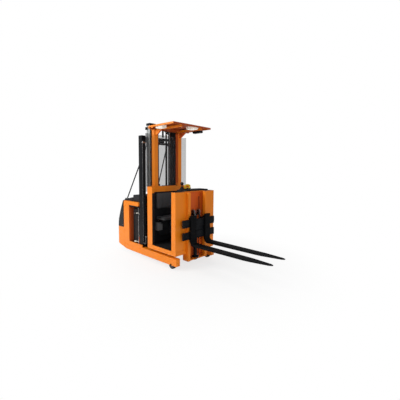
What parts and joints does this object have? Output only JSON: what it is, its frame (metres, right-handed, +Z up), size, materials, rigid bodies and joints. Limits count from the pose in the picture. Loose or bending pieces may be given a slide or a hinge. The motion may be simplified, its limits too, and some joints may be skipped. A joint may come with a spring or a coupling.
{
  "type": "order picker truck",
  "caption": "Man-up electric order picker truck: lifting operator cab with overhead guard on a telescopic mast, forks on a short front mast.",
  "frame": {"origin": "on the floor, at the centre of the outline, midway between the rear of the chassis and the fork tips", "axes": "+X forward towards the fork tips, +Y to the truck's left, +Z up"},
  "size_m": [3.361, 0.904, 2.428],
  "materials": {
    "orange": "semi-gloss orange paint on steel",
    "mast_black": "satin black paint on rolled steel",
    "fork_black": "black paint on forged steel, worn along the blades",
    "hood_grey": "dark grey moulded plastic, fine texture",
    "battery_case": "grey-black coated steel trough",
    "drive_iron": "painted casting",
    "drive_tyre": "solid tyre, moulded",
    "load_tyre": "moulded solid tyre",
    "chain_steel": "oiled steel",
    "black_plastic": "black moulded plastic",
    "cab_lining": "dark grey powder coat",
    "lamp_white": "white lamp housings",
    "clear_screen": "clear polycarbonate sheet, slightly milky",
    "pad_grey": "grey grained cover with sewn seams"
  },
  "bodies": {
    "chassis": {"chassis_frame": "orange", "rear_body": "orange", "side_frame_right": "orange", "side_frame_left": "orange", "load_arm_right": "orange", "load_arm_left": "orange", "outer_rail_right": "mast_black", "outer_rail_left": "mast_black", "outer_crossmembers": "mast_black", "lift_cylinder": "mast_black", "stay_right": "mast_black", "stay_left": "mast_black", "rear_hood": "hood_grey", "battery": "battery_case", "energy_chain": "black_plastic"},
    "lid": {"battery_lid": "hood_grey"},
    "drive_unit": {"drive_unit": "drive_iron"},
    "drive_wheel": {"drive_wheel": "drive_tyre"},
    "load_wheel_right": {"load_wheel_right": "load_tyre"},
    "load_wheel_left": {"load_wheel_left": "load_tyre"},
    "inner_mast": {"inner_rail_right": "mast_black", "inner_rail_left": "mast_black", "inner_crossmembers": "mast_black", "mast_head": "mast_black", "head_sheaves": "chain_steel", "lift_chains": "chain_steel"},
    "cab": {"cab_floor": "orange", "rear_pillar_right": "orange", "rear_pillar_left": "orange", "rear_wall": "cab_lining", "rear_beam": "orange", "front_wall": "orange", "mast_bracket": "orange", "guard_posts": "orange", "roof": "orange", "roof_lamps": "lamp_white", "mast_screen": "clear_screen", "console": "black_plastic", "controls": "black_plastic", "seat_pad": "pad_grey", "backrest_pad": "pad_grey", "fork_mast": "orange", "fork_cylinder": "mast_black"},
    "crosshead": {"fork_crosshead": "mast_black"},
    "fork_carriage": {"fork_carriage": "mast_black", "fork_right": "fork_black", "fork_left": "fork_black"}
  },
  "joints": [
    {"name": "mast_lift", "type": "slide", "parent": "chassis", "child": "inner_mast", "axis": [0, 0, 1], "range_m": [0, 1.4]},
    {"name": "cab_lift", "type": "slide", "parent": "inner_mast", "child": "cab", "axis": [0, 0, 1], "range_m": [0, 1.4], "deforming": ["lift_chains"]},
    {"name": "fork_lift", "type": "slide", "parent": "cab", "child": "fork_carriage", "axis": [0, 0, 1], "range_m": [-0.33, 0.38]},
    {"name": "crosshead_lift", "type": "slide", "parent": "cab", "child": "crosshead", "axis": [0, 0, 1], "range_m": [-0.165, 0.19]},
    {"name": "battery_lid_hinge", "type": "hinge", "parent": "chassis", "child": "lid", "pos_m": [-1.1795, 0, 1.112], "axis": [0, -1, 0], "range_deg": [0, 75]},
    {"name": "drive_steer", "type": "hinge", "parent": "chassis", "child": "drive_unit", "pos_m": [-1.3435, 0, 0.115], "axis": [0, 0, 1], "range_deg": [-90, 90]},
    {"name": "drive_spin", "type": "hinge", "parent": "drive_unit", "child": "drive_wheel", "pos_m": [-1.3435, 0, 0.115], "axis": [0, 1, 0], "continuous": true},
    {"name": "load_wheel_right_spin", "type": "hinge", "parent": "chassis", "child": "load_wheel_right", "pos_m": [0.0265, -0.4125, 0.07], "axis": [0, 1, 0], "continuous": true},
    {"name": "load_wheel_left_spin", "type": "hinge", "parent": "chassis", "child": "load_wheel_left", "pos_m": [0.0265, 0.4125, 0.07], "axis": [0, 1, 0], "continuous": true}
  ],
  "couplings": [
    {"joint": "cab_lift", "follows": "mast_lift", "ratio": 1},
    {"joint": "crosshead_lift", "follows": "fork_lift", "ratio": 0.5}
  ]
}
